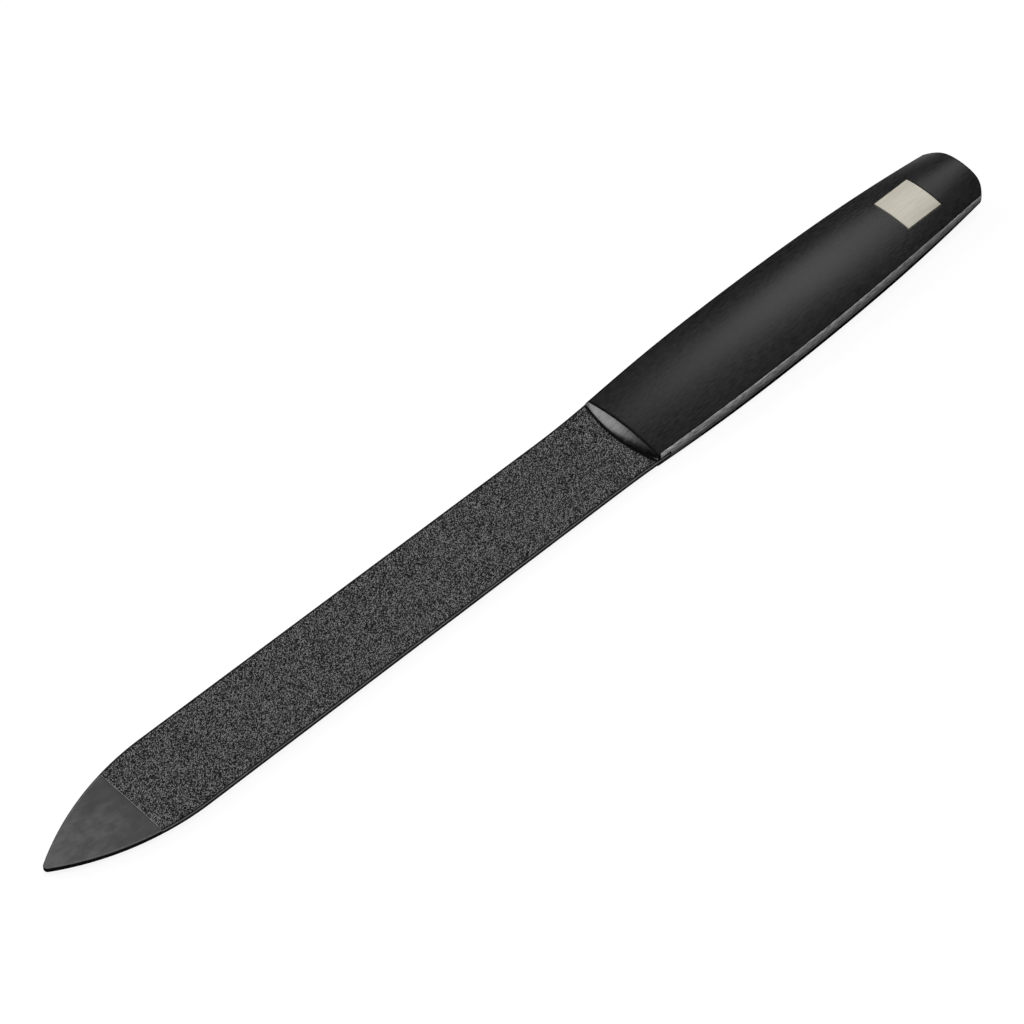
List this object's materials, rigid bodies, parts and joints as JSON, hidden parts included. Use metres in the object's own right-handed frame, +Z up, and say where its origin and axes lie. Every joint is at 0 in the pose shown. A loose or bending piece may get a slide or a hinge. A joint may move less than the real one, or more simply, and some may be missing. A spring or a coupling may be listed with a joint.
{
  "type": "nail file",
  "caption": "Flat pointed nail file with a grit coat on each face and a domed two-scale metal handle that carries a bare square plate.",
  "frame": {"origin": "centre of the bounding box in plan, at the height of the lowest point, which is the crown of the lower handle scale", "axes": "+X from the point of the blade to the rear end of the handle, +Z up out of the coarse face, +Y across the blade towards its far edge in the picture, completing a right-handed set"},
  "size_m": [0.13, 0.0118, 0.0043],
  "materials": {
    "dark_steel": "darkened smooth steel, satin",
    "coarse_grit": "bonded grit, dark grey with pale specks",
    "fine_grit": "bonded fine grit, dark grey",
    "black_steel": "blackened steel, brushed along the handle",
    "resin": "cured black resin",
    "pin_steel": "plain ground steel",
    "plate_steel": "bright satin plate, slightly warm"
  },
  "bodies": {
    "root": {"file_blank": "dark_steel", "coarse_grit_coat": "coarse_grit", "fine_grit_coat": "fine_grit", "upper_scale": "black_steel", "lower_scale": "black_steel", "bond_film": "resin", "front_tang_pin": "pin_steel", "rear_tang_pin": "pin_steel", "badge_plate": "plate_steel"}
  },
  "joints": []
}
